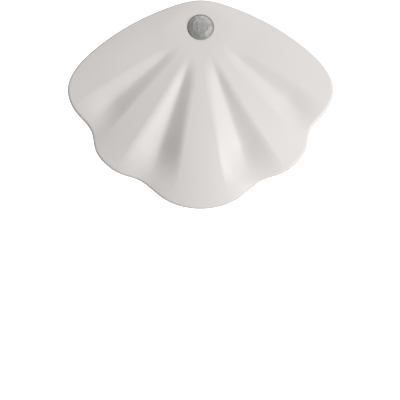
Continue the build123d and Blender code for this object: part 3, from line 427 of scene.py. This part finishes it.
def facet_at(radius, angle, dome_radius, ball):
    """At a spot on the dome: its sink below the ball, its distance from its facet's middle and its shade,
    with painted light to the right and up and painted shade on the skirt.
    """
    share = radius / dome_radius
    for start, end, count in FACET_BANDS:
        if start <= share < end:
            break
    else:
        # painted shade: the skirt outside the facets is darkened
        return 0.0, 0.0, SKIRT_PAINTED_SHADE
    inner, outer = start * dome_radius, end * dome_radius
    width = math.tau / count
    number = math.floor(angle / width)
    middle_angle = (number + 0.5) * width
    middle_radius = 0.0 if count == 1 else (inner + outer) / 2
    spot = Vector((radius * math.cos(angle), radius * math.sin(angle)))
    middle = Vector((middle_radius * math.cos(middle_angle), middle_radius * math.sin(middle_angle)))
    corner = outer if count == 1 else math.hypot((outer - inner) / 2, outer * math.sin(width / 2))
    axis = Vector((middle.x, middle.y, math.sqrt(ball ** 2 - middle_radius ** 2))) / ball
    depth = math.sqrt(ball ** 2 - corner ** 2)
    flat = (depth - spot.x * axis.x - spot.y * axis.y) / axis.z
    edge = outer - radius
    if count > 1:
        side = radius * (width / 2 - abs(angle - middle_angle))
        edge = min(edge, radius - inner, side)
    ridge = min(max(edge / sizes().facet_ridge, 0.0), 1.0)
    sink = max(0.0, math.sqrt(ball ** 2 - radius ** 2) - flat)
    shade = 1 + FACET_SPREAD * math.sin(FACET_TURN * number + BAND_TURN * count)
    # painted light: the lens is painted lighter towards the right and up
    shade += LENS_PAINTED_LIGHT.dot(spot) / dome_radius
    return sink * ridge * ridge * (3 - 2 * ridge), (spot - middle).length, shade


def lens_body():
    """Sensor lens: faceted dome, neck and flange with the hollow behind, its top at the origin and z out."""
    s = sizes()
    radius, rise = s.lens_diameter / 2, s.lens_rise
    ball = (radius ** 2 + rise ** 2) / (2 * rise)
    bore, inner_rise = radius - s.lens_skin, rise - s.lens_skin
    inner_ball = (bore ** 2 + inner_rise ** 2) / (2 * inner_rise)
    foot = -rise - s.lens_neck
    outside = [radius * i / s.lens_rings for i in range(s.lens_rings + 1)]
    collar = [(radius, foot), (radius + s.flange_over, foot), (radius + s.flange_over, foot - s.lens_flange)]
    collar += [(bore, foot - s.lens_flange), (bore, -rise)]
    inside_rings = s.lens_rings // 4
    inside = [bore * i / inside_rings for i in range(inside_rings - 1, -1, -1)]
    bm = bmesh.new()
    ring_layer = bm.verts.layers.float.new("facet_ring")
    shade_layer = bm.verts.layers.float.new("facet_tone_and_painted_light")
    loops = []

    def ring_of(spots):
        """Adds one ring of the skin, from the place, ripple and shade of each spot."""
        loop = []
        for spot, ripple, shade in spots:
            vert = bm.verts.new(spot)
            vert[ring_layer] = ripple
            vert[shade_layer] = shade
            loop.append(vert)
        loops.append(loop)

    ripples = math.tau / s.facet_groove
    turns = [math.tau * i / s.lens_steps for i in range(s.lens_steps)]
    for r in outside:
        spots = []
        for angle in turns if r else [0.0]:
            sink, away, shade = facet_at(r, angle, radius, ball)
            height = math.sqrt(ball ** 2 - r ** 2) - ball - sink
            spots.append(((r * math.cos(angle), r * math.sin(angle), height), away * ripples, shade))
        ring_of(spots)
    collar += [(r, math.sqrt(inner_ball ** 2 - r ** 2) - inner_ball - s.lens_skin) for r in inside]
    for r, z in collar:
        # the neck, flange and hollow get the skirt's painted shade
        ring_of([((r * math.cos(a), r * math.sin(a), z), 0.0, SKIRT_PAINTED_SHADE) for a in (turns if r else [0.0])])
    for low, high in zip(loops, loops[1:]):
        count = max(len(low), len(high))
        for i in range(count):
            corners = [low[i % len(low)], high[i % len(high)]]
            corners += [high[(i + 1) % len(high)], low[(i + 1) % len(low)]]
            bm.faces.new(list(dict.fromkeys(corners)))
    for face in bm.faces:
        face.smooth = True
    return bm


def thick(bm, faces, depth):
    """Thickens flat faces at one level downwards into a closed plate."""
    grown = bmesh.ops.extrude_face_region(bm, geom=faces)["geom"]
    bmesh.ops.translate(bm, vec=(0, 0, -depth), verts=[g for g in grown if isinstance(g, bmesh.types.BMVert)])


def symbol_body():
    """Power symbol: an open ring and a bar, just under the button's face; the opening is towards -y."""
    s = sizes()
    top = -s.symbol_sunk
    inner, outer = s.symbol_ring / 2 - s.symbol_line / 2, s.symbol_ring / 2 + s.symbol_line / 2
    turn = math.tau - s.symbol_gap
    bm = bmesh.new()
    rails = []
    for i in range(RING_PARTS + 1):
        angle = -math.pi / 2 + s.symbol_gap / 2 + turn * i / RING_PARTS
        rails.append([bm.verts.new((r * math.cos(angle), r * math.sin(angle), top)) for r in (inner, outer)])
    faces = [bm.faces.new((a[0], a[1], b[1], b[0])) for a, b in zip(rails, rails[1:])]
    half, low, high = s.symbol_line / 2, -s.symbol_ring * BAR_FROM, -s.symbol_ring * BAR_TO
    point = half * BAR_POINT
    bar = [(-half, low), (0, low - point), (half, low), (half, high), (0, high + point), (-half, high)]
    faces.append(bm.faces.new([bm.verts.new((x, y, top)) for x, y in bar]))
    thick(bm, faces, s.symbol_thick)
    return bm


def contact_body(tongue_thick):
    """Contacts half sunk in both faces of the socket's tongue: z out of the socket, y through the tongue."""
    s = sizes()
    pitch = s.contact_width * CONTACT_PITCH
    bm = bmesh.new()
    for side in (-1, 1):
        for i in range(s.contacts):
            x = (i - (s.contacts - 1) / 2) * pitch
            for v in bmesh.ops.create_cube(bm, size=1.0)["verts"]:
                taper = CONTACT_TIP if v.co.z > 0 else 1.0
                v.co = Vector((
                    x + v.co.x * s.contact_width * taper,
                    side * (tongue_thick / 2) + v.co.y * 2 * s.contact_proud,
                    -s.contact_length / 2 + v.co.z * s.contact_length,
                ))
    return bm


class WALLLIGHT_OT_case(Operator):
    """Satin plastic of the cover, the tub and the lamp collar"""

    bl_idname = "walllight.case"
    bl_label = "Cover and Tub"

    def execute(self, context):
        f = finishes()
        satin = moulded("satin_shell", f.shell, f.grain, f.grain_depth, rough=0.42, specular_ior_level=0.42)
        dress(satin, "front_shell", "rear_housing", "lamp_collar")
        return {"FINISHED"}


class WALLLIGHT_OT_sensor(Operator):
    """Faceted sensor lens and the sensor behind it"""

    bl_idname = "walllight.sensor"
    bl_label = "Sensor"

    def execute(self, context):
        f = finishes()
        place = face_of("sensor_lens", ACROSS, LENS_OUT)
        piece("sensor_dome", lens_body(), place, "case", "lens_frost", frosted_lens("frosted_lens", f.lens),
              "sensor_lens")
        dress(moulded("sensor_ring_plastic", f.inner, f.grain, f.grain_depth, rough=0.5), "sensor_lens_ring")
        dress(plated("sensor_can", f.bright, rough=0.3), "pyro_sensor")
        window = moulded("sensor_window", f.chip, f.grain, f.grain_depth / 4, rough=0.2)
        dress(window, "pyro_window", "daylight_sensor")
        return {"FINISHED"}


class WALLLIGHT_OT_buttons(Operator):
    """Button caps with their symbols, stems and switches"""

    bl_idname = "walllight.buttons"
    bl_label = "Buttons"

    def execute(self, context):
        f = finishes()
        along_wall = -CASE_OUT.cross(RIGHT_WALL_OUT)
        grey_print = moulded("symbol_print", f.symbol, f.grain, f.grain_depth, rough=0.5)
        for key in ("power", "mode"):
            place = face_of(f"{key}_button", along_wall, RIGHT_WALL_OUT)
            piece(f"{key}_symbol", symbol_body(), place, f"{key}_key", "inner_plastic", grey_print)
        cap = moulded("button_cap", f.button, f.grain, f.grain_depth / 2, rough=0.38)
        dress(cap, "power_button", "mode_button")
        stem = moulded("stem_plastic", f.inner, f.grain, f.grain_depth, rough=0.5)
        dress(stem, "power_switch_stem", "mode_switch_stem")
        switch = moulded("switch_plastic", f.black, f.grain, f.grain_depth, rough=0.45)
        dress(switch, "power_switch", "mode_switch")
        return {"FINISHED"}


class WALLLIGHT_OT_socket(Operator):
    """Charging socket, its tongue and contacts"""

    bl_idname = "walllight.socket"
    bl_label = "Charging Socket"

    def execute(self, context):
        f = finishes()
        along_wall = -CASE_OUT.cross(LEFT_WALL_OUT)
        place = face_of("charge_socket_tongue", along_wall, LEFT_WALL_OUT)
        low, high = box_of("charge_socket_tongue", place)
        tongue_thick = high.y - low.y
        contacts = plated("contact_gold", f.gold, rough=0.25)
        piece("socket_contacts", contact_body(tongue_thick), place, "case", "bright_metal", contacts)
        dress(plated("socket_steel", f.bright, rough=0.28, squeeze=(1.0, 1.0, 6.0)), "charge_socket")
        dress(moulded("tongue_plastic", f.black, f.grain, f.grain_depth, rough=0.4), "charge_socket_tongue")
        return {"FINISHED"}


class WALLLIGHT_OT_lamp(Operator):
    """Lamp lens, reflector, emitter and heat plate"""

    bl_idname = "walllight.lamp"
    bl_label = "Lamp"

    def execute(self, context):
        f = finishes()
        dress(milky_lens("milky_lens", f.lamp), "lamp_lens")
        dress(plated("reflector_coat", f.mirror, rough=0.12, depth=0.000002), "lamp_reflector")
        dress(foamed("phosphor_gel", f.phosphor, cell=0.0002), "lamp_led")
        dress(plated("lamp_board_metal", f.aluminium, rough=0.4, squeeze=(1.0, 8.0, 1.0)), "lamp_led_board")
        dress(plated("heat_plate_metal", f.aluminium, rough=0.36, squeeze=(8.0, 1.0, 1.0)), "lamp_heat_plate")
        dress(moulded("lock_ring_plastic", f.inner, f.grain, f.grain_depth, rough=0.5), "lamp_lock_ring")
        return {"FINISHED"}


class WALLLIGHT_OT_electronics(Operator):
    """Circuit boards, chips, plugs and leads"""

    bl_idname = "walllight.electronics"
    bl_label = "Electronics"

    def execute(self, context):
        f = finishes()
        dress(solder_mask("solder_mask", f.board), "main_board", "battery_end_board")
        package = moulded("chip_package", f.chip, f.grain / 2, f.grain_depth, rough=0.55)
        dress(package, "controller_chip", "charger_chip", "inductor", "resistors")
        dress(plated("capacitor_can", f.aluminium, rough=0.3), "storage_capacitor")
        plug = moulded("plug_plastic", f.inner, f.grain, f.grain_depth, rough=0.45)
        dress(plug, "battery_plug", "lamp_plug")
        insulation = moulded("lead_insulation", f.lead, f.grain, f.grain_depth, rough=0.5)
        dress(insulation, "battery_leads", "lamp_leads")
        return {"FINISHED"}


class WALLLIGHT_OT_battery(Operator):
    """Battery cell and its foam pad"""

    bl_idname = "walllight.battery"
    bl_label = "Battery"

    def execute(self, context):
        f = finishes()
        dress(film_wrap("cell_film", f.cell), "battery_cell")
        dress(foamed("battery_foam", f.foam, cell=0.0005), "battery_pad")
        return {"FINISHED"}


class WALLLIGHT_OT_fixings(Operator):
    """Screws, magnets, wall plate and tape"""

    bl_idname = "walllight.fixings"
    bl_label = "Fixings"

    def execute(self, context):
        f = finishes()
        dress(plated("screw_steel", f.bright, rough=0.34), "housing_screws", "board_screws")
        dress(plated("magnet_nickel", f.bright, rough=0.2), "magnets")
        dress(plated("zinc_sheet", f.plate, rough=0.4, squeeze=(1.0, 1.0, 14.0), scale=500.0), "wall_plate")
        dress(foamed("foam_tape", f.foam, cell=0.0006), "adhesive_pad")
        return {"FINISHED"}


def sheet(name, side, place, finish):
    """Square sheet of the stage, level until it is placed."""
    mesh = bpy.data.meshes.new(name)
    half = side / 2
    corners = [(-half, -half, 0), (half, -half, 0), (half, half, 0), (-half, half, 0)]
    mesh.from_pydata([place @ Vector(c) for c in corners], [], [(0, 1, 2, 3)])
    mesh.materials.append(finish)
    obj = bpy.data.objects.new(name, mesh)
    bpy.context.scene.collection.objects.link(obj)


def soft_light(name, at, watts):
    """Round soft light that points at the light's middle and isn't seen itself."""
    lamp = bpy.data.lights.new(name, "AREA")
    lamp.shape = "DISK"
    lamp.size = studio().light_size
    lamp.energy = watts
    obj = bpy.data.objects.new(name, lamp)
    obj.location = at
    obj.rotation_euler = (-Vector(at)).to_track_quat("-Z", "Y").to_euler()
    obj.visible_camera = False
    bpy.context.scene.collection.objects.link(obj)


class WALLLIGHT_OT_studio(Operator):
    """Camera, soft lights, pale floor and white backdrop"""

    bl_idname = "walllight.studio"
    bl_label = "Studio"

    def execute(self, context):
        s = studio()
        scene = context.scene
        camera = bpy.data.cameras.new("photo_camera")
        camera.lens = camera.sensor_width * (s.view_distance - s.view_plane) / s.view_width
        camera.clip_end = 100.0
        eye = bpy.data.objects.new("photo_camera", camera)
        eye.location = (s.view_across, -s.view_distance, s.view_height)
        eye.rotation_euler = (math.pi / 2, 0, 0)
        scene.collection.objects.link(eye)
        scene.camera = eye
        soft_light("key", s.key_at, s.key_power)
        soft_light("top", s.top_at, s.top_power)
        soft_light("back", s.back_at, s.back_power)
        pale = moulded("pale_floor", s.floor_colour, s.floor_grain, s.floor_grain_depth, rough=0.7)
        sheet("floor", s.floor_size, Matrix.Translation((0, 0, -s.floor_drop)), pale)
        white = begin(
            "white_backdrop", roughness=0.9, emission_color=(1, 1, 1, 1), emission_strength=s.backdrop_glow
        )[0]
        upright = Matrix.Translation((0, s.backdrop_behind, 0)) @ Matrix.Rotation(math.pi / 2, 4, "X")
        sheet("backdrop", s.backdrop_size, upright, white)
        world = bpy.data.worlds.new("studio")
        world.use_nodes = True
        sky = world.node_tree.nodes["Background"]
        sky.inputs["Color"].default_value = (1.0, 1.0, 1.0, 1.0)
        sky.inputs["Strength"].default_value = s.ambient
        scene.world = world
        scene.view_settings.view_transform = "Standard"
        return {"FINISHED"}


class WALLLIGHT_PT_panel(Panel):
    """Lists the steps that build the light"""

    bl_idname = "WALLLIGHT_PT_panel"
    bl_label = "Wall Light"
    bl_space_type = "VIEW_3D"
    bl_region_type = "UI"
    bl_category = "Wall Light"

    def draw(self, context):
        for step in STEPS:
            self.layout.operator(step.bl_idname)
        for group in (finishes(), sizes(), studio()):
            box = self.layout.box()
            for name in group.__annotations__:
                box.prop(group, name)


STEPS = (
    WALLLIGHT_OT_case,
    WALLLIGHT_OT_sensor,
    WALLLIGHT_OT_buttons,
    WALLLIGHT_OT_socket,
    WALLLIGHT_OT_lamp,
    WALLLIGHT_OT_electronics,
    WALLLIGHT_OT_battery,
    WALLLIGHT_OT_fixings,
    WALLLIGHT_OT_studio,
)
CLASSES = (WallLightFinishes, WallLightSizes, WallLightStudio, *STEPS, WALLLIGHT_PT_panel)


def register():
    for cls in CLASSES:
        bpy.utils.register_class(cls)
    bpy.types.Scene.wall_light_finishes = PointerProperty(type=WallLightFinishes)
    bpy.types.Scene.wall_light_sizes = PointerProperty(type=WallLightSizes)
    bpy.types.Scene.wall_light_studio = PointerProperty(type=WallLightStudio)


def unregister():
    del bpy.types.Scene.wall_light_studio
    del bpy.types.Scene.wall_light_sizes
    del bpy.types.Scene.wall_light_finishes
    for cls in reversed(CLASSES):
        bpy.utils.unregister_class(cls)


def main():
    register()
    bpy.ops.walllight.case()
    bpy.ops.walllight.sensor()
    bpy.ops.walllight.buttons()
    bpy.ops.walllight.socket()
    bpy.ops.walllight.lamp()
    bpy.ops.walllight.electronics()
    bpy.ops.walllight.battery()
    bpy.ops.walllight.fixings()
    bpy.ops.walllight.studio()


if __name__ == "__main__":
    main()
